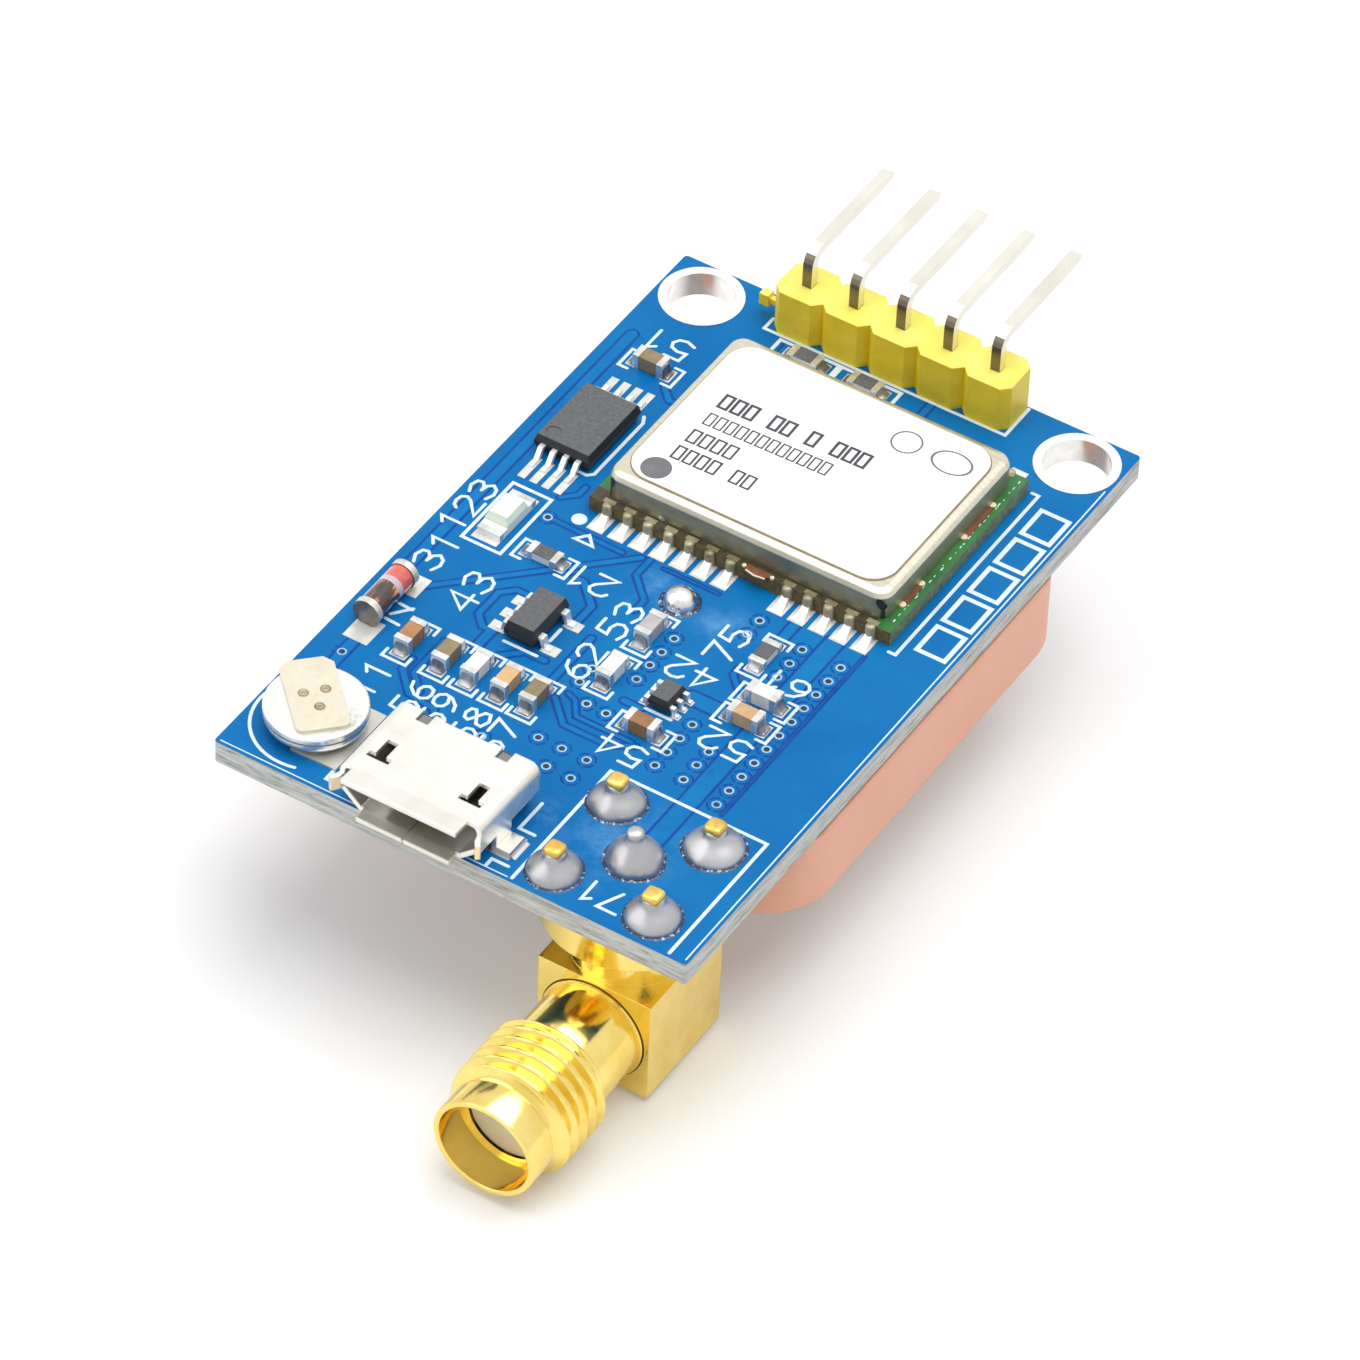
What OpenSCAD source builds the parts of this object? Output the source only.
// Satellite receiver board with a patch antenna and a coaxial socket below it.
// Millimetres. +Z is the component side, +Y runs towards the pin header.
// The origin is the middle of the two mounting holes, on the board's underside.

/* [Board] */
// Width of the board
board_w = 24.7; // [24.6:0.1:30]
// Length of the board
board_l = 39.2; // [39:0.1:46]
// Thickness of the board
board_t = 1.2; // [0.8:0.1:2]
// Corner radius of the board
board_corner_r = 0.2; // [0.2:0.1:1.5]
// Distance between the mounting holes
hole_spacing = 20.32; // [19.5:0.02:20.6]
// Distance from the mounting holes to the back edge
hole_edge = 2.1; // [2.1:0.05:4]
// Radius of the plated mounting holes
hole_r = 1.6; // [1.2:0.05:1.75]
// Radius of the tin ring around a mounting hole
hole_ring_r = 2.05; // [1.95:0.05:2.1]
// Thickness of the plating in and around a mounting hole
plating_t = 0.06; // [0.03:0.01:0.12]

/* [Receiver module] */
// Length of the module's substrate
module_l = 16; // [15.6:0.1:17]
// Width of the module's substrate
module_w = 12.2; // [11.6:0.1:12.4]
// Thickness of the module's substrate
module_t = 0.8; // [0.6:0.1:1.2]
// Distance of the module's middle to the right of the board's middle
module_x = 1.27; // [0.9:0.01:1.7]
// Distance from the mounting holes forward to the module's middle
module_y = 9; // [8.8:0.05:9.4]
// Pitch of the module's edge pads
pad_pitch = 1.1; // [1:0.05:1.12]
// Width of the gap between the two rows of edge pads on a side
pad_gap = 3; // [2.6:0.1:3.2]
// Radius of the half-round cut at an edge pad
pad_cut_r = 0.28; // [0.15:0.01:0.35]
// Width of a solder joint at an edge pad
pad_solder_w = 0.8; // [0.5:0.05:0.9]
// Reach of a solder joint in front of the substrate
pad_solder_toe = 1.05; // [0.6:0.05:1.15]
// Length of the shield can
shield_l = 14.9; // [14:0.1:15.4]
// Width of the shield can
shield_w = 11.4; // [10.6:0.1:11.5]
// Height of the shield can
shield_h = 1.55; // [1.4:0.05:2.2]
// Sheet thickness of the shield can
shield_t = 0.18; // [0.12:0.01:0.25]
// Corner radius of the shield can
shield_r = 0.75; // [0.6:0.05:1.2]
// Radius of the drawn top edge of the shield can
shield_edge = 0.36; // [0.28:0.02:0.5]
// Margin between the label and the edge of the can
label_margin = 0.5; // [0.4:0.05:1.2]
// Corner radius of the label
label_r = 1.3; // [0.8:0.1:2]
// Thickness of the label
label_t = 0.08; // [0.05:0.01:0.15]

/* [Pin header] */
// Number of header pins
header_n = 5; // [4:1:5]
// Pitch of the header pins
header_pitch = 2.54; // [2.2:0.02:2.6]
// Distance from the mounting holes back to the pins
header_y = 1.12; // [0.95:0.02:1.3]
// Depth of the header's housing
header_d = 2.5; // [2:0.05:2.5]
// Height of the header's housing
header_h = 2.54; // [2:0.05:3]
// Depth of the chamfers between the housing's cells
header_chamfer = 0.42; // [0.2:0.02:0.6]
// Width of a square pin
pin_w = 0.5; // [0.4:0.02:0.7]
// Height of a pin's level run above the housing, to its middle
pin_rise = 1.86; // [1.3:0.05:3]
// Inner radius of a pin's bend
pin_bend_r = 0.45; // [0.2:0.05:0.7]
// Distance from a pin's upright to its tip
pin_reach = 7; // [5:0.1:9]
// Length of a pin below the board
pin_tail = 1.6; // [1.2:0.1:2.5]

/* [Micro-USB port] */
// Distance of the port's middle to the left of the board's middle
usb_x = 1.95; // [1.7:0.05:2.2]
// Width of the shell
usb_w = 7.4; // [7:0.05:7.6]
// Width of the shell's narrow floor
usb_floor_w = 5.3; // [4.8:0.05:5.8]
// Height of the shell
usb_h = 2.5; // [2.3:0.05:3]
// Length of the shell without its lips
usb_l = 4.7; // [4.4:0.05:5.2]
// Sheet thickness of the shell
usb_t = 0.25; // [0.2:0.01:0.3]
// Rise of the slanted lower sides
usb_slant = 0.95; // [0.8:0.05:1.1]
// Radius of the shell's upper corners
usb_r = 0.5; // [0.35:0.05:0.7]
// Length of a flared lip beyond its bend
usb_lip = 0.55; // [0.3:0.05:0.8]
// Width of the insulator's tongue
tongue_w = 3.7; // [3.5:0.05:4]
// Thickness of the insulator's tongue
tongue_t = 0.6; // [0.45:0.05:0.7]
// Pitch of the port's contacts
contact_pitch = 0.65; // [0.55:0.01:0.7]
// Width of a contact
contact_w = 0.35; // [0.25:0.01:0.42]
// Thickness of a contact
contact_t = 0.12; // [0.08:0.01:0.18]

/* [Backup cell] */
// Distance of the cell's middle to the left of the board's middle
cell_x = 9.2; // [9.05:0.05:9.45]
// Distance from the board's front edge to the cell's middle
cell_y = 3.45; // [2.9:0.05:3.6]
// Radius of the cell
cell_r = 2.4; // [2.1:0.05:2.5]
// Height of the cell
cell_h = 1.2; // [1:0.05:1.8]
// Thickness of the cell's tabs
tab_t = 0.14; // [0.08:0.01:0.2]
// Width of the cell's top tab
tab_w = 2.5; // [1.6:0.05:2.8]
// Overhang of the top tab beyond the cell
tab_overhang = 0.26; // [0.2:0.02:0.6]

/* [Small parts] */
// Radius of the diode's end caps
diode_r = 0.7; // [0.6:0.02:0.8]
// Length of the diode
diode_l = 3.3; // [3:0.05:3.7]
// Length of the diode's end caps
diode_cap_l = 0.36; // [0.26:0.02:0.7]
// Length of the light
led_l = 3; // [2.4:0.05:3.2]
// Width of the light
led_w = 1.25; // [1:0.05:1.4]
// Height of the light
led_h = 0.85; // [0.7:0.05:1.2]
// Length of the light's lens
led_lens_l = 1.7; // [1.4:0.05:2]
// Length of a chip capacitor, inductor or resistor
chip_l = 1.6; // [1.5:0.02:1.66]
// Width of a chip
chip_w = 0.8; // [0.7:0.02:0.86]
// Height of a chip capacitor or inductor
chip_h = 0.8; // [0.6:0.02:1]
// Height of a chip resistor
resistor_h = 0.45; // [0.35:0.02:0.6]
// Length of a chip's end terminals
terminal_l = 0.32; // [0.2:0.02:0.4]
// Thickness of the plating on a chip's ends
terminal_t = 0.03; // [0.02:0.01:0.05]
// Thickness of the lead frame of the small circuits
lead_t = 0.15; // [0.1:0.01:0.2]

/* [Coaxial socket] */
// Distance of the socket's middle to the right of the board's middle
sma_x = 7.05; // [6.75:0.05:7.35]
// Distance from the board's front edge to the socket's middle
sma_y = 4.2; // [4.1:0.05:4.4]
// Pitch of the square of legs
leg_pitch = 5.08; // [4.8:0.02:5.2]
// Width of a square leg
leg_w = 0.72; // [0.6:0.02:1]
// Rise of the legs above the board
leg_rise = 1.5; // [1.2:0.05:2]
// Radius of the flange under the board
flange_r = 4.2; // [4.1:0.02:4.3]
// Thickness of the flange
flange_t = 1.5; // [1:0.05:2]
// Radius of the neck between flange and block
sma_neck_r = 2.8; // [2.2:0.05:2.9]
// Height of the neck
sma_neck_h = 2.45; // [2:0.05:3]
// Width of the block
block_w = 5.85; // [5.7:0.05:6.4]
// Depth of the block
block_d = 6; // [5.7:0.05:6.4]
// Height of the block
block_h = 5.7; // [5.7:0.05:6.4]
// Radius of the smooth barrel behind the thread
barrel_r = 2.5; // [2.4:0.02:2.6]
// Length of the smooth barrel
barrel_l = 3.1; // [2.6:0.05:3.6]
// Outer radius of the thread
thread_r = 3.1; // [3:0.02:3.2]
// Length of the thread
thread_l = 4.1; // [3.5:0.05:5]
// Outer radius of the nose in front of the thread
nose_r = 2.6; // [2.55:0.01:2.65]
// Length of the nose
nose_l = 1.7; // [1.4:0.05:2]
// Radius of the bore in the nose
socket_r = 2.3; // [2.2:0.01:2.35]
// Depth of the bore in front of the insulator
socket_depth = 2; // [1.8:0.05:2.4]
// Radius of the insulator
insulator_r = 2.05; // [1.9:0.02:2.1]
// Outer radius of the centre contact's socket
contact_r = 0.64; // [0.55:0.01:0.7]

/* [Patch antenna] */
// Side of the ceramic tile
antenna_l = 25; // [24:0.1:25.2]
// Thickness of the ceramic tile
antenna_t = 4; // [3:0.1:5]
// Corner radius of the ceramic tile
antenna_r = 3.5; // [1:0.1:5]
// Side of the silver patch
patch_l = 19.6; // [17:0.1:21]
// Cut at two corners of the patch, which sets its polarisation
patch_cut = 2.2; // [1:0.1:3]
// Thickness of the silver coatings
silver_t = 0.04; // [0.02:0.01:0.08]
// Thickness of the adhesive tape
tape_t = 0.12; // [0.08:0.01:0.3]
// Gap between the tile and the socket's flange
antenna_gap = 0.2; // [0.15:0.05:0.5]
// Distance of the feed pin in front of the tile's middle
feed_offset = 2; // [1.8:0.05:2.3]
// Radius of the feed pin
feed_r = 0.4; // [0.3:0.02:0.5]

/* [Fits] */
// Clearance around pins and legs in their holes
hole_gap = 0.1; // [0.05:0.01:0.15]
// Clearance of pressed and moulded fits
press_gap = 0.01; // [0.005:0.005:0.02]
// Clearance between soldered pieces that stand side by side
seat_gap = 0.02; // [0.01:0.01:0.04]

/* [Hidden] */
$fn = 48;
hull_fn = 28;
eps = 1;

// Edges of the board
top = board_t;
front = hole_edge - board_l;

// Receiver module
pad_row_n = 7;
pad_short_n = 5;
pad_row_l = (pad_row_n - 1) * pad_pitch + pad_gap + (pad_short_n - 1) * pad_pitch;
pad_xs = [
    for (i = [0:pad_row_n - 1]) -pad_row_l / 2 + i * pad_pitch,
    for (i = [0:pad_short_n - 1]) pad_row_l / 2 - i * pad_pitch
];
module_at = [module_x, -module_y, top];
shield_z = module_t;
receiver_l = 5;
receiver_h = 0.85;
crystal_l = 2.5;
crystal_w = 2;
crystal_h = 0.8;
filter_l = 1.6;
filter_w = 1.4;
filter_h = 0.6;

// Pin header
header_xs = [for (i = [0:header_n - 1]) (i - (header_n - 1) / 2) * header_pitch];
pin_hole_r = pin_w * sqrt(2) / 2 + hole_gap;
pin_run_z = top + header_h + pin_rise;

// Micro-USB port, from its front edge at the board's edge
usb_at = [-usb_x, front, top];
usb_run = (usb_w - usb_floor_w) / 2;
usb_hyp = sqrt(usb_run * usb_run + usb_slant * usb_slant);
usb_seam = 0.06;
usb_roof_angle = 6;
usb_floor_angle = 8;
usb_ear_angle = 38;
usb_lip_r = 0.35;
usb_overhang = 0.05;
usb_back = usb_l + usb_overhang;
usb_block_y = 3.3;
tongue_front = 0.8;
tongue_drop = 0.02;
tongue_z = usb_h / 2 - tongue_drop;
contact_tail = 0.75;
contact_inset = 0.1;
contact_xs = [for (i = [-2:2]) i * contact_pitch];
usb_foot_y = 1.85;
usb_foot_l = 1.2;
usb_foot_w = 0.7;

// Backup cell
cell_at = [-cell_x, front + cell_y, top];
cell_tab_angle = 135;
cell_base_l = 4.1;
cell_base_reach = 2.4;

// Coaxial socket
sma_at = [sma_x, front + sma_y, 0];
leg_spots = [for (sx = [-1, 1], sy = [-1, 1]) [sx * leg_pitch / 2, sy * leg_pitch / 2]];
leg_hole_r = leg_w * sqrt(2) / 2 + hole_gap;
block_top = -flange_t - sma_neck_h;
axis_z = block_top - block_h / 2;
stem_r = 0.42;
stem_bush_r = 1.3;
stem_hole_r = stem_r + hole_gap;
stem_rise = 1.5;
seat_wall = 0.3;
seat_r = insulator_r + seat_wall;
seat_clear = 0.2;
seat_depth = block_d / 2 - stem_bush_r - seat_clear;
sma_tip = barrel_l + thread_l + nose_l;
insulator_recess = 0.15;
insulator_face = sma_tip - socket_depth - insulator_recess;
contact_recess = 0.1;
thread_chamfer = 0.35;

// Patch antenna
antenna_y = front + sma_y + flange_r + antenna_gap + antenna_l / 2;
antenna_at = [0, antenna_y, -tape_t - silver_t];
feed_at = [0, antenna_y - feed_offset, 0];
feed_hole_r = feed_r + hole_gap;
feed_head_r = 0.9;
feed_head_t = 0.25;
feed_rise = 0.45;
feed_clear = 0.4;
feed_bottom = antenna_at.z - antenna_t - silver_t;

// Small parts on the board
diode_at = [-10.9, front + 11.6, top];
led_at = [-9.45, -17.8, top];
memory_at = [-9.45, -11, top];
regulator_at = [-4.5, front + 14.15, top];
amplifier_at = [2.95, front + 13.3, top];
memory_w = 3;
memory_l = 4.4;
memory_h = 1;
memory_size = [memory_w, memory_l, memory_h];
regulator_w = 1.6;
regulator_l = 2.9;
regulator_h = 1.1;
regulator_size = [regulator_w, regulator_l, regulator_h];
amplifier_w = 1.1;
amplifier_l = 1.5;
amplifier_h = 0.8;
amplifier_size = [amplifier_w, amplifier_l, amplifier_h];
body_lift = 0.1;
led_base_h = 0.4;
diode_step = 0.06;

// Chips: place on the board, and turn from lying along Y
capacitors = [
    [-8.6, front + 10.15, 0],
    [-6.62, front + 10.15, 0],
    [-3.47, front + 10.15, 0],
    [-1.97, front + 10.15, 0],
    [0, front + 16.6, 0],
    [-9.45, -5.5, 90],
    [3.02, front + 11.15, 90],
    [6.55, front + 14.18, 90]
];
capacitor_colours = [
    "#c98049", "#8b7d55", "#c9a679", "#8b7d55", "#8f8585", "#9c6138", "#9c6138", "#c98049"
];
inductors = [
    [-5.07, front + 10.15, 0],
    [0, front + 13.4, 0],
    [6.55, front + 15.73, 90]
];
resistors = [
    [5.05, front + 18.2, 0],
    [-6.58, front + 18.07, 90],
    [-3.8, -1.1, 90],
    [-0.55, -1.1, 90]
];
tall_chips = concat(capacitors, inductors);

tin = "#c9c9c6";
gold = "#dcb545";
black = "#33353a";

// Shared shapes

module rounded_rect(w, l, r) {
    square([w - 2 * r, l], center = true);
    square([w, l - 2 * r], center = true);
    for (sx = [-1, 1], sy = [-1, 1])
        translate([sx * (w / 2 - r), sy * (l / 2 - r)])
            circle(r);
}

module block(size) {
    translate([-size.x / 2, -size.y / 2, 0])
        cube(size);
}

// A profile drawn in Y and Z, w wide across X
module side_profile(w, points) {
    rotate([90, 0, 90])
        translate([0, 0, -w / 2])
            linear_extrude(w)
                polygon(points);
}

// A hollow solder fillet: its wall stands at y = 0 and its toe runs towards -Y
module fillet(w, toe, h) {
    curve = [for (a = [0:15:90]) [-toe * (1 - sin(a)), h * (1 - cos(a))]];
    side_profile(w, concat([[0, 0]], curve));
}

// A hollow solder cone around a post, standing on z = 0
module solder_cone(r, h, tip_r) {
    curve = [for (a = [0:15:90]) [tip_r + (r - tip_r) * (1 - sin(a)), h * (1 - cos(a))]];
    rotate_extrude()
        polygon(concat([[0, 0]], curve, [[0, h]]));
}

// A solder bell around a post on z = 0: full below, drawn in to the post at the top
module solder_bell(r, h, tip_r) {
    steps = 10;
    fullness = 1.4;
    curve = [
        for (i = [0:steps])
            let (s = i / steps)
            [tip_r + (r - tip_r) * (1 + cos(180 * pow(s, fullness))) / 2, h * s]
    ];
    rotate_extrude()
        polygon(concat([[0, 0]], curve, [[0, h]]));
}

// A solder dome of radius r and height h
module solder_dome(r, h) {
    curve = [for (a = [0:15:75]) [r * cos(a), h * sin(a)]];
    rotate_extrude()
        polygon(concat([[0, 0]], curve, [[0, h]]));
}

// A moulded body with drafted sides around a parting line
module moulded_body(size, lift) {
    draft = 0.12;
    middle = lift + (size.z - lift) / 2;
    hull() {
        translate([0, 0, lift])
            block([size.x - 2 * draft, size.y - 2 * draft, size.z - lift]);
        translate([0, 0, middle - lead_t / 2])
            block([size.x, size.y, lead_t]);
    }
}

// A bent lead that leaves a body at y = 0 and stands on the board further along -Y
module gull_lead(w, reach, foot, exit_z) {
    shoulder = 0.18;
    knee = reach - foot;
    half = lead_t / 2;
    side_profile(w, [
        [0, exit_z + half],
        [-shoulder - half, exit_z + half],
        [-knee - half, lead_t],
        [-reach, lead_t],
        [-reach, 0],
        [-knee + half, 0],
        [-shoulder + half, exit_z - half],
        [0, exit_z - half]
    ]);
}

// Board

module pcb_holes() {
    for (sx = [-1, 1])
        translate([sx * hole_spacing / 2, 0])
            cylinder(r = hole_r + plating_t + press_gap, h = 2 * eps + board_t);
    for (x = header_xs)
        translate([x, header_y])
            cylinder(r = pin_hole_r, h = 2 * eps + board_t);
    translate([sma_at.x, sma_at.y]) {
        cylinder(r = stem_hole_r, h = 2 * eps + board_t);
        for (p = leg_spots)
            translate(p)
                cylinder(r = leg_hole_r, h = 2 * eps + board_t);
    }
    translate([feed_at.x, feed_at.y])
        cylinder(r = feed_hole_r, h = 2 * eps + board_t);
}

module pcb() {
    color("#2873b9")
        difference() {
            translate([0, hole_edge - board_l / 2])
                linear_extrude(board_t)
                    rounded_rect(board_w, board_l, board_corner_r);
            translate([0, 0, -eps])
                pcb_holes();
        }
}

module hole_plating() {
    wall_r = hole_r + plating_t;
    color(tin)
        for (sx = [-1, 1])
            translate([sx * hole_spacing / 2, 0])
                rotate_extrude()
                    polygon([
                        [hole_r, -plating_t],
                        [hole_ring_r, -plating_t],
                        [hole_ring_r, 0],
                        [wall_r, 0],
                        [wall_r, top],
                        [hole_ring_r, top],
                        [hole_ring_r, top + plating_t],
                        [hole_r, top + plating_t]
                    ]);
}

// Receiver module

module module_substrate() {
    color("#2d7d3c")
        translate(module_at)
            linear_extrude(module_t)
                difference() {
                    square([module_l, module_w], center = true);
                    for (x = pad_xs, s = [-1, 1])
                        translate([x, s * module_w / 2])
                            circle(pad_cut_r);
                }
}

// Solder at an edge pad: it fills the half-round cut and runs out along -Y to a wide toe
module edge_joint() {
    cut = pad_cut_r - press_gap;
    curve = [for (a = [0:15:90]) [-pad_solder_toe * (1 - sin(a)), module_t * (1 - cos(a))]];
    intersection() {
        side_profile(pad_solder_w, concat([[cut, 0]], curve, [[cut, module_t]]));
        translate([0, 0, -eps])
            linear_extrude(module_t + 2 * eps)
                union() {
                    circle(cut);
                    polygon([
                        [-pad_solder_w / 2, -pad_solder_toe],
                        [pad_solder_w / 2, -pad_solder_toe],
                        [cut, 0],
                        [-cut, 0]
                    ]);
                }
    }
}

module module_solder() {
    color(tin)
        translate(module_at)
            for (x = pad_xs, s = [0, 1])
                rotate(s * 180)
                    translate([(1 - 2 * s) * x, -module_w / 2])
                        edge_joint();
}

// The rounded block that fills a drawn can, from z = 0
module can_form(l, w, h, r, edge) {
    hull()
        for (sx = [-1, 1], sy = [-1, 1])
            translate([sx * (l / 2 - r), sy * (w / 2 - r), 0]) {
                cylinder(r = r, h = h - edge, $fn = hull_fn);
                cylinder(r = r - 0.3 * edge, h = h - 0.3 * edge, $fn = hull_fn);
                cylinder(r = r - edge, h = h, $fn = hull_fn);
            }
}

module module_shield() {
    slit_w = 0.16;
    slit_h = shield_h - 2 * shield_edge;
    color("#b9b4a2")
        translate(module_at + [0, 0, shield_z])
            difference() {
                can_form(shield_l, shield_w, shield_h, shield_r, shield_edge);
                translate([0, 0, -eps])
                    can_form(
                        shield_l - 2 * shield_t, shield_w - 2 * shield_t, shield_h + eps - shield_t,
                        shield_r - shield_t, shield_edge - shield_t / 2
                    );
                for (sx = [-1, 1], sy = [-1, 1])
                    translate([sx * (shield_l / 2 - shield_r), sy * (shield_w / 2 - shield_r), -eps])
                        rotate(45 * sy * (2 - sx)) {
                            translate([0, -slit_w / 2, 0])
                                cube([2 * shield_r, slit_w, eps + slit_h]);
                            translate([0, -slit_w, eps + slit_h - 2 * slit_w])
                                cube([2 * shield_r, 2 * slit_w, 2 * slit_w]);
                        }
            }
}

module module_label() {
    color("#f7f6f3")
        translate(module_at + [0, 0, shield_z + shield_h])
            linear_extrude(label_t)
                rounded_rect(shield_l - 2 * label_margin, shield_w - 2 * label_margin, label_r);
}

module inner_chip(place, size, colour) {
    mark = 0.5;
    mark_r = 0.2;
    mark_depth = 0.08;
    color(colour)
        translate(module_at + [place.x, place.y, module_t])
            difference() {
                block(size);
                translate([-size.x / 2 + mark, size.y / 2 - mark, size.z - mark_depth])
                    cylinder(r = mark_r, h = eps, $fn = 24);
            }
}

module receiver_chip() {
    inner_chip([-2.6, 0.2], [receiver_l, receiver_l, receiver_h], black);
}

module clock_crystal() {
    inner_chip([3.2, -2.2], [crystal_l, crystal_w, crystal_h], "#c8c6bd");
}

module radio_filter() {
    inner_chip([3.4, 2.2], [filter_l, filter_w, filter_h], "#9a958a");
}

// Pin header

module header_housing() {
    half = header_d / 2;
    pitch = header_pitch;
    c = header_chamfer;
    ends = [-header_n * pitch / 2, header_n * pitch / 2];
    front_edge = [
        for (x = header_xs)
            each [
                [x - pitch / 2, -half + c],
                [x - pitch / 2 + c, -half],
                [x + pitch / 2 - c, -half]
            ]
    ];
    back_edge = [for (p = front_edge) [-p.x, -p.y]];
    outline = concat(front_edge, [[ends[1], -half + c]], back_edge, [[ends[0], half - c]]);
    gate = [0.5, 0.3, 0.3];
    nub = [0.5, 0.5, 0.65];
    gate_at = [ends[0] - gate.x, -0.4, 0.4 * header_h];
    hole_w = pin_w + 2 * press_gap;
    color("#ecd93c")
        translate([0, header_y, top])
            difference() {
                union() {
                    linear_extrude(header_h)
                        polygon(outline);
                    translate(gate_at - [nub.x / 2, gate.y / 2, gate.z / 2])
                        cube([nub.x / 2 + gate.x + c, gate.y, gate.z]);
                    translate(gate_at - [nub.x, nub.y / 2, nub.z / 2])
                        cube(nub);
                }
                for (x = header_xs)
                    translate([x, 0, -eps])
                        block([hole_w, hole_w, header_h + 2 * eps]);
            }
}

module header_pins() {
    w = pin_w;
    half = w / 2;
    point = 0.3;
    pinch = 0.16;
    outer_r = pin_bend_r + w;
    bend = [half + pin_bend_r, pin_run_z - half - pin_bend_r];
    outer_arc = [for (a = [180:-15:90]) bend + outer_r * [cos(a), sin(a)]];
    inner_arc = [for (a = [90:15:180]) bend + pin_bend_r * [cos(a), sin(a)]];
    profile = concat(
        [[-half + pinch, -pin_tail], [-half, -pin_tail + point]],
        outer_arc,
        [[pin_reach - point, pin_run_z + half], [pin_reach, pin_run_z + half - pinch]],
        [[pin_reach, pin_run_z - half + pinch], [pin_reach - point, pin_run_z - half]],
        inner_arc,
        [[half, -pin_tail + point], [half - pinch, -pin_tail]]
    );
    color("#c2bfb0")
        for (x = header_xs)
            translate([x, header_y, 0])
                side_profile(w, profile);
}

module header_solder() {
    bare_tip = 0.5;
    h = pin_tail - bare_tip;
    toe = 0.3;
    climb = 0.06;
    color(tin)
        for (x = header_xs)
            translate([x, header_y, 0])
                difference() {
                    mirror([0, 0, 1])
                        solder_cone(pin_hole_r + toe, h, pin_w / 2 + climb);
                    translate([0, 0, -h - eps])
                        block([pin_w, pin_w, h + 2 * eps]);
                }
}

// Micro-USB port

// Front outline of the shell, drawn in by a distance
function usb_outline(inset) =
    let (
        hw = usb_w / 2 - inset,
        low = usb_floor_w / 2 - inset * (usb_hyp - usb_run) / usb_slant,
        side = usb_slant + inset * (usb_hyp - usb_slant) / usb_run,
        r = usb_r - inset,
        roof = usb_h - inset,
        right_arc = [for (a = [0:15:90]) [hw - r + r * cos(a), roof - r + r * sin(a)]],
        left_arc = [for (a = [90:15:180]) [-hw + r + r * cos(a), roof - r + r * sin(a)]]
    )
    concat([[-low, inset], [low, inset], [hw, side]], right_arc, left_arc, [[-hw, side]]);

// The outline drawn in by a distance, run back from y0 to y1
module usb_run_of(inset, y0, y1) {
    translate([0, y1, 0])
        rotate([90, 0, 0])
            linear_extrude(y1 - y0)
                polygon(usb_outline(inset));
}

// A flared lip at y = 0: sheet from z = -usb_t to 0, bent up towards -Y
module usb_flare(w, angle, lip) {
    r = usb_lip_r;
    rise = [0, r];
    along = lip * [-cos(angle), sin(angle)];
    steps = [0:angle / 4:angle];
    upper = [for (a = steps) rise + r * [-sin(a), -cos(a)]];
    lower = [for (a = steps) rise + (r + usb_t) * [-sin(a), -cos(a)]];
    upper_tip = upper[len(upper) - 1] + along;
    lower_tip = lower[len(lower) - 1] + along;
    lower_back = [for (i = [len(lower) - 1:-1:0]) lower[i]];
    side_profile(w, concat(upper, [upper_tip, lower_tip], lower_back));
}

module usb_roof_cuts() {
    slot_x = 2.4;
    slot = [0.55, 1.35];
    bar = [1.15, 0.35];
    slot_y = 0.95;
    notch = [0.65, 0.7];
    notch_x = 2.08;
    waist = [2.4, 0.12];
    translate([-waist.x / 2, usb_l - waist.y, usb_h - 2 * usb_t])
        cube([waist.x, waist.y + eps, 3 * usb_t]);
    for (s = [-1, 1]) {
        translate([s * slot_x - slot.x / 2, slot_y, usb_h - 2 * usb_t])
            cube([slot.x, slot.y, 3 * usb_t]);
        translate([s * slot_x - bar.x / 2, slot_y, usb_h - 2 * usb_t])
            cube([bar.x, bar.y, 3 * usb_t]);
        translate([s * notch_x - notch.x / 2, usb_l - notch.y, usb_h - 2 * usb_t])
            cube([notch.x, notch.y + eps, 3 * usb_t]);
    }
}

module usb_lips() {
    inset = 0.2;
    roof_w = usb_w - 2 * usb_r - 2 * inset;
    floor_w = usb_floor_w - 2 * inset;
    ear_h = 0.8;
    ear_lip = 0.6 * usb_lip;
    roof_extra = 0.45;
    ear_z = usb_slant + (usb_h - usb_r - usb_slant) / 2;
    translate([0, 0, usb_h])
        usb_flare(roof_w, usb_roof_angle, usb_lip + roof_extra);
    mirror([0, 0, 1])
        usb_flare(floor_w, usb_floor_angle, usb_lip);
    for (s = [-1, 1])
        translate([s * usb_w / 2, 0, ear_z])
            rotate([0, s * 90, 0])
                usb_flare(ear_h, usb_ear_angle, ear_lip);
}

module usb_feet() {
    hw = usb_w / 2;
    for (s = [-1, 1])
        translate([0, usb_foot_y - usb_foot_l / 2, 0]) {
            translate([s * (hw - usb_t / 2) - usb_t / 2, 0, 0])
                cube([usb_t, usb_foot_l, usb_slant + usb_t]);
            translate([s * (hw + usb_foot_w / 2 - usb_t / 2) - (usb_foot_w + usb_t) / 2, 0, 0])
                cube([usb_foot_w + usb_t, usb_foot_l, usb_t]);
        }
}

module usb_shell() {
    color("#d9d6ca")
        translate(usb_at)
            difference() {
                union() {
                    difference() {
                        usb_run_of(0, 0, usb_l);
                        usb_run_of(usb_t, -eps, usb_l + eps);
                    }
                    usb_lips();
                    usb_feet();
                }
                usb_roof_cuts();
                translate([-usb_seam / 2, -2 * eps, -eps])
                    cube([usb_seam, usb_l + 3 * eps, eps + 1.5 * usb_t]);
            }
}

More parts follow.
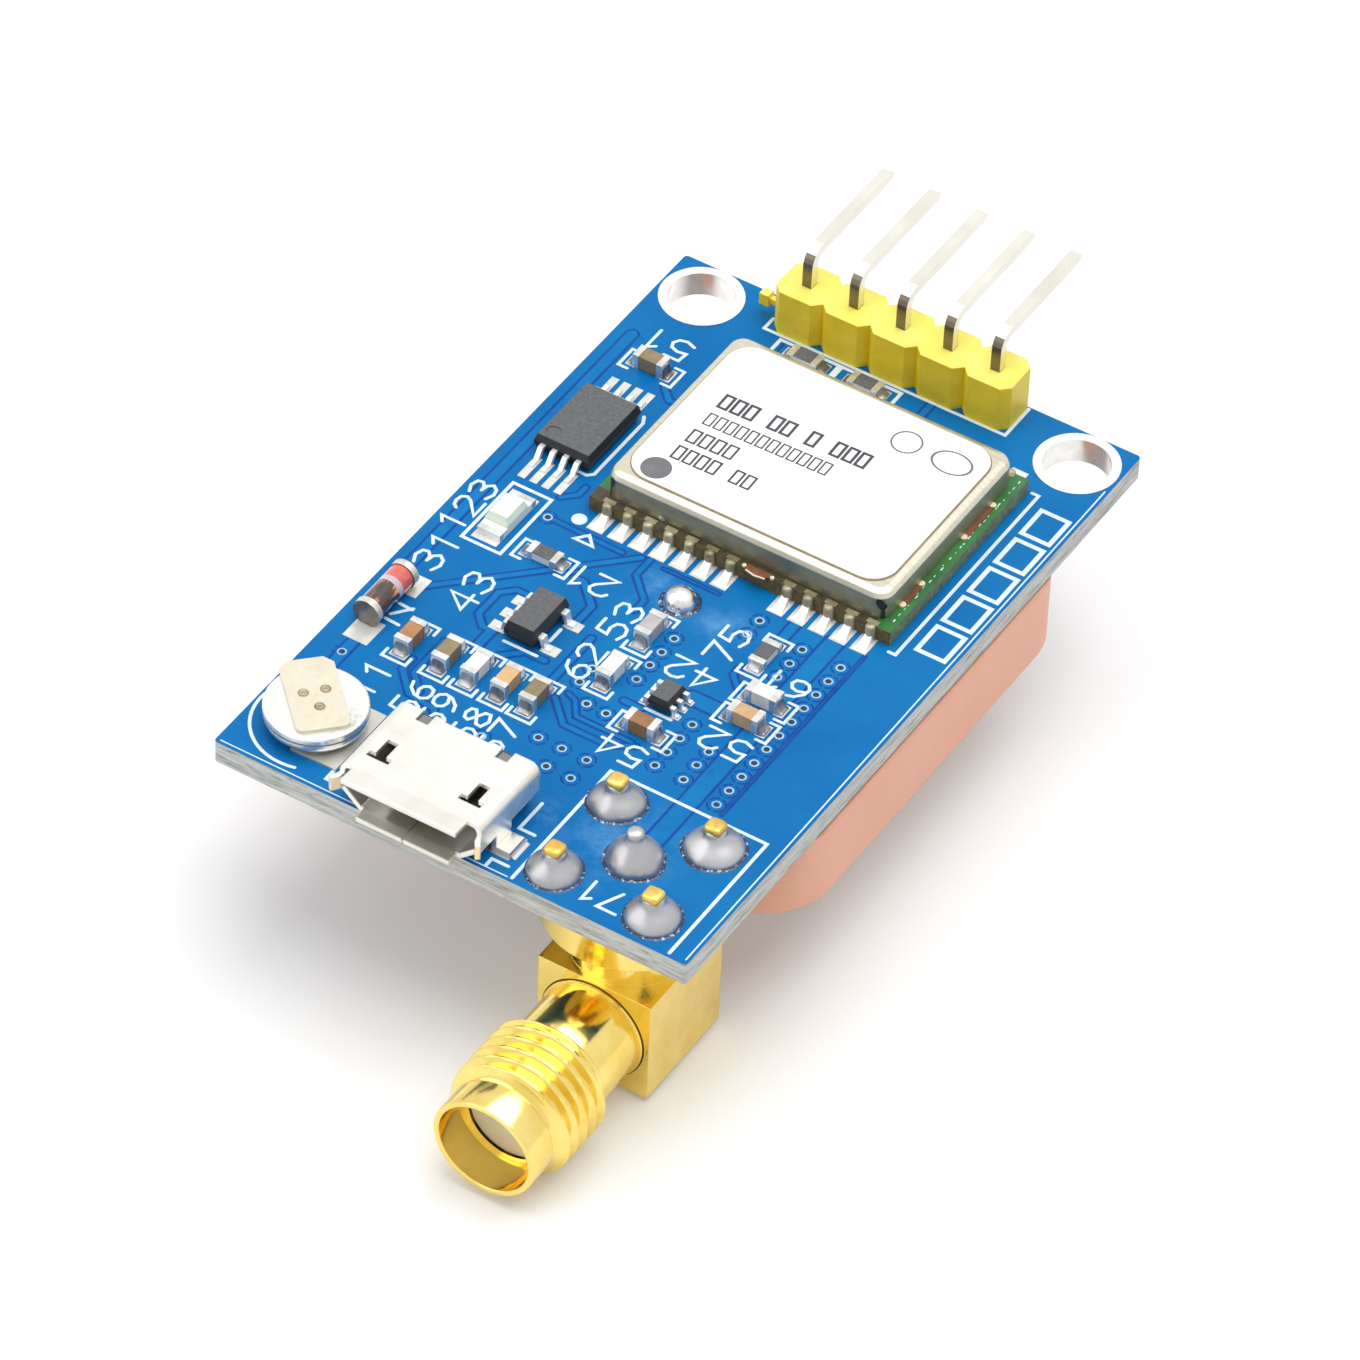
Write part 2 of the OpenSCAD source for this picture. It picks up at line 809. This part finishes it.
// The five contact strips, grown by a clearance
module usb_strips(gap) {
    level = tongue_z - contact_t;
    start = tongue_front + contact_inset;
    drop = usb_back + contact_t;
    tail = drop + contact_tail;
    for (x = contact_xs)
        translate([x, 0, 0])
            side_profile(contact_w + 2 * gap, [
                [start - gap, tongue_z + gap],
                [drop + gap, tongue_z + gap],
                [drop + gap, contact_t + gap],
                [tail + gap, contact_t + gap],
                [tail + gap, -gap],
                [drop - contact_t - gap, -gap],
                [drop - contact_t - gap, level - gap],
                [start - gap, level - gap]
            ]);
}

module usb_insulator() {
    tongue_l = usb_block_y - tongue_front + eps / 2;
    color("#26272b")
        translate(usb_at)
            difference() {
                union() {
                    usb_run_of(usb_t + seat_gap, usb_block_y, usb_back);
                    translate([-tongue_w / 2, tongue_front, tongue_z])
                        cube([tongue_w, tongue_l, tongue_t]);
                }
                usb_strips(press_gap);
            }
}

module usb_contacts() {
    color(gold)
        translate(usb_at)
            usb_strips(0);
}

module usb_solder() {
    toe = 0.3;
    tail_end = usb_back + contact_t + contact_tail;
    color(tin)
        translate(usb_at) {
            for (s = [-1, 1])
                translate([s * (usb_w / 2 + usb_foot_w), usb_foot_y, 0])
                    rotate(s * 90)
                        fillet(usb_foot_l, toe, usb_t);
            for (x = contact_xs)
                translate([x, tail_end, 0])
                    rotate(180)
                        fillet(contact_w, toe, contact_t);
        }
}

// Backup cell

// A can crimped in around a smaller base
module cell_body() {
    rim = 0.14;
    base_step = 0.65;
    base_h = 0.16;
    crimp = 0.42;
    crimp_h = 0.58;
    base_r = cell_r - base_step;
    crimp_curve = [
        for (a = [90:-15:0])
            [cell_r - crimp * (1 - cos(a)), base_h + crimp_h * (1 - sin(a))]
    ];
    rim_curve = [for (a = [0:30:90]) [cell_r - rim * (1 - cos(a)), cell_h - rim * (1 - sin(a))]];
    color("#d4d2c9")
        translate(cell_at + [0, 0, tab_t])
            rotate_extrude()
                polygon(concat([[0, 0], [base_r, 0], [base_r, base_h]], crimp_curve, rim_curve, [[0, cell_h]]));
}

// Strip along +Y in the tab's own turn: over the cell, then down to the board
module cell_top_tab() {
    z = tab_t + cell_h;
    bend = cell_r + tab_overhang;
    inner_end = 1.85;
    foot = 0.5;
    foot_w = 1.2;
    corner_r = 0.35;
    corner_cut = 0.42;
    hw = tab_w / 2;
    near = [
        for (s = [1, -1], i = [0:3])
            let (a = s > 0 ? -i * 30 : -90 - i * 30)
            [s * (hw - corner_r) + corner_r * cos(a), -inner_end + corner_r + corner_r * sin(a)]
    ];
    far = [[-hw, bend - corner_cut], [-hw + corner_cut, bend], [hw - corner_cut, bend], [hw, bend - corner_cut]];
    color("#e6e1d0")
        translate(cell_at)
            rotate(cell_tab_angle - 90) {
                translate([0, 0, z])
                    linear_extrude(tab_t)
                        polygon(concat(near, far));
                side_profile(foot_w, [
                    [bend - tab_t, z + tab_t / 2],
                    [bend, z + tab_t / 2],
                    [bend, 0],
                    [bend - foot, 0],
                    [bend - foot, tab_t],
                    [bend - tab_t, tab_t]
                ]);
            }
}

module cell_base_tab() {
    rim = 0.6;
    color("#a9a8a0")
        translate(cell_at)
            linear_extrude(tab_t)
                union() {
                    circle(cell_r - rim);
                    translate([0, -cell_base_l / 2])
                        square([cell_base_reach, cell_base_l]);
                }
}

// Small parts

module along_y(r, l) {
    translate([0, -l / 2, 0])
        rotate([-90, 0, 0])
            cylinder(r = r, h = l);
}

module diode_glass() {
    color("#c4594b")
        translate(diode_at + [0, 0, diode_r])
            along_y(diode_r - diode_step, diode_l - 2 * diode_cap_l);
}

module diode_caps() {
    color(tin)
        for (s = [-1, 1])
            translate(diode_at + [0, s * (diode_l - diode_cap_l) / 2, diode_r])
                along_y(diode_r, diode_cap_l);
}

module led_base() {
    color("#e9e8de")
        translate(led_at)
            block([led_w, led_l - 2 * terminal_l, led_base_h]);
}

module led_lens() {
    step = 0.1;
    taper = 0.15;
    color("#dfe9dc")
        translate(led_at + [0, 0, led_base_h])
            hull() {
                block([led_w, led_lens_l, step]);
                block([led_w - 2 * taper, led_lens_l - 2 * taper, led_h - led_base_h]);
            }
}

module led_terminals() {
    color(tin)
        for (s = [-1, 1])
            translate(led_at + [0, s * (led_l - terminal_l) / 2, 0])
                block([led_w, terminal_l, led_base_h]);
}

module marked_body(size, lift) {
    mark_r = 0.12 * size.x;
    mark_depth = 0.04;
    difference() {
        moulded_body(size, lift);
        translate([-0.28 * size.x, -0.36 * size.y, size.z - mark_depth])
            cylinder(r = mark_r, h = eps, $fn = 24);
    }
}

module memory_body() {
    color(black)
        translate(memory_at)
            marked_body(memory_size, body_lift);
}

module memory_leads() {
    pitch = 0.65;
    w = 0.26;
    reach = 1.1;
    foot = 0.55;
    exit_z = body_lift + (memory_size.z - body_lift) / 2;
    color(tin)
        translate(memory_at)
            for (s = [0, 1], i = [-1.5:1.5])
                rotate(180 * s)
                    translate([i * pitch, -memory_size.y / 2, 0])
                        gull_lead(w, reach, foot, exit_z);
}

module regulator_body() {
    color(black)
        translate(regulator_at)
            rotate(90)
                moulded_body([regulator_size.y, regulator_size.x, regulator_size.z], body_lift);
}

module regulator_leads() {
    pitch = 0.95;
    w = 0.4;
    reach = 0.65;
    foot = 0.35;
    exit_z = body_lift + (regulator_size.z - body_lift) / 2;
    color(tin)
        translate(regulator_at) {
            for (i = [-1:1])
                rotate(-90)
                    translate([i * pitch, -regulator_size.x / 2, 0])
                        gull_lead(w, reach, foot, exit_z);
            for (i = [-1, 1])
                rotate(90)
                    translate([i * pitch, -regulator_size.x / 2, 0])
                        gull_lead(w, reach, foot, exit_z);
        }
}

module amplifier_body() {
    color(black)
        translate(amplifier_at)
            rotate(90)
                moulded_body([amplifier_size.y, amplifier_size.x, amplifier_size.z], body_lift);
}

module amplifier_leads() {
    pitch = 0.55;
    w = 0.22;
    reach = 0.45;
    foot = 0.22;
    exit_z = body_lift + (amplifier_size.z - body_lift) / 2;
    color(tin)
        translate(amplifier_at)
            for (s = [-1, 1], i = [-1:1])
                rotate(s * 90)
                    translate([i * pitch, -amplifier_size.x / 2, 0])
                        gull_lead(w, reach, foot, exit_z);
}

// Moves a chip's own pieces to its place
module at_chip(chip) {
    translate([chip.x, chip.y, top])
        rotate(chip[2])
            children();
}

module chip_body(h) {
    translate([0, 0, terminal_t])
        block([chip_w - 2 * terminal_t, chip_l - 2 * terminal_t, h - 2 * terminal_t]);
}

module chip_ends(h) {
    difference() {
        for (s = [-1, 1])
            translate([0, s * (chip_l - terminal_l) / 2, 0])
                block([chip_w, terminal_l, h]);
        chip_body(h);
    }
}

module chip_fillets(h) {
    toe = 0.42;
    for (s = [0, 1])
        rotate(180 * s)
            translate([0, -chip_l / 2, 0])
                fillet(chip_w, toe, 0.7 * h);
}

module capacitor(i) {
    color(capacitor_colours[i])
        at_chip(capacitors[i])
            chip_body(chip_h);
}

module inductor(i) {
    color("#e8e6df")
        at_chip(inductors[i])
            chip_body(chip_h);
}

module resistor(i) {
    color("#ded9cc")
        at_chip(resistors[i])
            chip_body(resistor_h);
}

module resistor_coats() {
    color(black)
        for (chip = resistors)
            at_chip(chip)
                translate([0, 0, resistor_h - terminal_t])
                    block([chip_w - 2 * terminal_t, chip_l - 2 * terminal_l - seat_gap, terminal_t]);
}

module chip_terminals() {
    color(tin) {
        for (chip = tall_chips)
            at_chip(chip)
                chip_ends(chip_h);
        for (chip = resistors)
            at_chip(chip)
                chip_ends(resistor_h);
    }
}

module chip_solder() {
    color(tin) {
        for (chip = tall_chips)
            at_chip(chip)
                chip_fillets(chip_h);
        for (chip = resistors)
            at_chip(chip)
                chip_fillets(resistor_h);
    }
}

// Coaxial socket

// Turns a profile of radius and distance into a solid around the socket's axis, running to -Y
module sma_turned(points) {
    translate([0, -block_d / 2, axis_z])
        rotate([90, 0, 0])
            rotate_extrude()
                polygon(points);
}

module sma_body() {
    color(gold)
        translate(sma_at)
            difference() {
                union() {
                    translate([0, 0, -flange_t])
                        cylinder(r = flange_r, h = flange_t, $fn = 72);
                    translate([0, 0, block_top - eps])
                        cylinder(r = sma_neck_r, h = sma_neck_h + 2 * eps);
                    translate([0, 0, block_top - block_h])
                        block([block_w, block_d, block_h]);
                    for (p = leg_spots)
                        translate([p.x, p.y, -eps / 2])
                            block([leg_w, leg_w, eps / 2 + top + leg_rise]);
                }
                translate([0, 0, axis_z])
                    cylinder(r = stem_bush_r + press_gap, h = -axis_z + eps);
                sma_turned([
                    [0, -block_d / 2 - insulator_r],
                    [insulator_r + press_gap, -block_d / 2 - insulator_r],
                    [insulator_r + press_gap, -seat_depth],
                    [seat_r + press_gap, -seat_depth],
                    [seat_r + press_gap, eps],
                    [0, eps]
                ]);
            }
}

module sma_barrel() {
    collar_step = 0.12;
    collar_r = barrel_r + collar_step;
    collar_l = 0.14;
    nose_chamfer = 0.1;
    cham = thread_chamfer;
    thread_y = barrel_l;
    nose_y = thread_y + thread_l;
    color(gold)
        translate(sma_at)
            sma_turned([
                [insulator_r + press_gap, -seat_depth],
                [seat_r, -seat_depth],
                [seat_r, 0],
                [collar_r, 0],
                [collar_r, collar_l],
                [barrel_r, collar_l],
                [barrel_r, thread_y],
                [thread_r - cham, thread_y],
                [thread_r, thread_y + cham],
                [thread_r, nose_y - cham],
                [nose_r, nose_y],
                [nose_r, sma_tip - nose_chamfer],
                [nose_r - nose_chamfer, sma_tip],
                [socket_r, sma_tip],
                [socket_r, sma_tip - socket_depth],
                [insulator_r + press_gap, sma_tip - socket_depth]
            ]);
}

module sma_insulator() {
    color("#f1efe8")
        translate(sma_at)
            difference() {
                union() {
                    sma_turned([
                        [0, -block_d / 2 - insulator_r],
                        [insulator_r, -block_d / 2 - insulator_r],
                        [insulator_r, insulator_face],
                        [0, insulator_face]
                    ]);
                    translate([0, 0, axis_z])
                        cylinder(r = stem_bush_r, h = -axis_z);
                }
                sma_contact_form(press_gap);
            }
}

// The bent centre contact, grown by a clearance
module sma_contact_form(gap) {
    translate([0, 0, axis_z])
        cylinder(r = stem_r + gap, h = -axis_z + top + stem_rise);
    sma_turned([
        [0, -block_d / 2 - stem_r - gap],
        [contact_r + gap, -block_d / 2 - stem_r - gap],
        [contact_r + gap, insulator_face - contact_recess + gap],
        [0, insulator_face - contact_recess + gap]
    ]);
}

module sma_contact() {
    hole_r = 0.7 * contact_r;
    hole_l = 3;
    slot_w = 0.16;
    slot_l = 2;
    color(gold)
        translate(sma_at)
            difference() {
                sma_contact_form(0);
                sma_turned([
                    [0, insulator_face - hole_l],
                    [hole_r, insulator_face - hole_l],
                    [hole_r, insulator_face + eps],
                    [0, insulator_face + eps]
                ]);
                translate([-slot_w / 2, -block_d / 2 - insulator_face - eps, axis_z - 2 * contact_r])
                    cube([slot_w, slot_l + eps, 4 * contact_r]);
            }
}

module sma_solder() {
    bell_r = 1.34;
    bell_h = 1.12;
    cap_h = 0.35;
    climb = 0.04;
    color(tin)
        translate(sma_at + [0, 0, top]) {
            for (p = leg_spots)
                translate(p)
                    difference() {
                        solder_bell(bell_r, bell_h, leg_w * sqrt(2) / 2 + climb);
                        translate([0, 0, -eps])
                            block([leg_w, leg_w, bell_h + 2 * eps]);
                    }
            difference() {
                solder_bell(bell_r, stem_rise + cap_h, stem_r);
                translate([0, 0, -eps])
                    cylinder(r = stem_r, h = eps + stem_rise);
            }
        }
}

// Patch antenna

module antenna_tile(l, t, r, hole) {
    difference() {
        linear_extrude(t)
            rounded_rect(l, l, r);
        translate([0, -feed_offset, -eps])
            cylinder(r = hole, h = t + 2 * eps);
    }
}

module antenna_ceramic() {
    color("#e2a78b")
        translate(antenna_at + [0, 0, -antenna_t])
            antenna_tile(antenna_l, antenna_t, antenna_r, feed_hole_r);
}

module antenna_ground() {
    margin = 0.25;
    color("#cfccc4")
        translate(antenna_at)
            antenna_tile(antenna_l - 2 * margin, silver_t, antenna_r - margin, feed_head_r + feed_clear);
}

module antenna_tape() {
    margin = 1;
    least_r = 0.2;
    corner_r = max(antenna_r - margin, least_r);
    color("#4b4743")
        translate([0, antenna_y, -tape_t])
            antenna_tile(antenna_l - 2 * margin, tape_t, corner_r, feed_head_r + feed_clear);
}

module antenna_patch() {
    h = patch_l / 2;
    c = patch_cut;
    color("#cfccc4")
        translate(antenna_at + [0, 0, -antenna_t - silver_t])
            difference() {
                linear_extrude(silver_t)
                    polygon([[-h, -h], [h - c, -h], [h, -h + c], [h, h], [-h + c, h], [-h, h - c]]);
                translate([0, -feed_offset, -eps])
                    cylinder(r = feed_hole_r, h = silver_t + 2 * eps);
            }
}

module antenna_pin() {
    color(tin)
        translate(feed_at) {
            translate([0, 0, feed_bottom - feed_head_t])
                cylinder(r = feed_head_r, h = feed_head_t);
            translate([0, 0, feed_bottom - feed_head_t])
                cylinder(r = feed_r, h = feed_head_t - feed_bottom + top + feed_rise);
        }
}

module antenna_solder() {
    ball_r = 0.78;
    blob_h = 0.75;
    toe = 0.45;
    head_blob_h = 0.7;
    color(tin)
        translate(feed_at) {
            translate([0, 0, top])
                difference() {
                    solder_dome(ball_r, blob_h);
                    translate([0, 0, -eps])
                        cylinder(r = feed_r, h = eps + feed_rise);
                }
            translate([0, 0, feed_bottom])
                difference() {
                    mirror([0, 0, 1])
                        solder_dome(feed_head_r + toe, head_blob_h);
                    translate([0, 0, -feed_head_t])
                        cylinder(r = feed_head_r, h = feed_head_t + eps);
                }
        }
}

pcb();
hole_plating();
module_substrate();
module_solder();
module_shield();
module_label();
receiver_chip();
clock_crystal();
radio_filter();
header_housing();
header_pins();
header_solder();
usb_shell();
usb_insulator();
usb_contacts();
usb_solder();
cell_body();
cell_top_tab();
cell_base_tab();
diode_glass();
diode_caps();
led_base();
led_lens();
led_terminals();
memory_body();
memory_leads();
regulator_body();
regulator_leads();
amplifier_body();
amplifier_leads();
sma_body();
sma_barrel();
sma_insulator();
sma_contact();
sma_solder();
antenna_ceramic();
antenna_ground();
antenna_patch();
antenna_tape();
antenna_pin();
antenna_solder();
chip_terminals();
chip_solder();
resistor_coats();
for (i = [0:len(capacitors) - 1])
    capacitor(i);
for (i = [0:len(inductors) - 1])
    inductor(i);
for (i = [0:len(resistors) - 1])
    resistor(i);
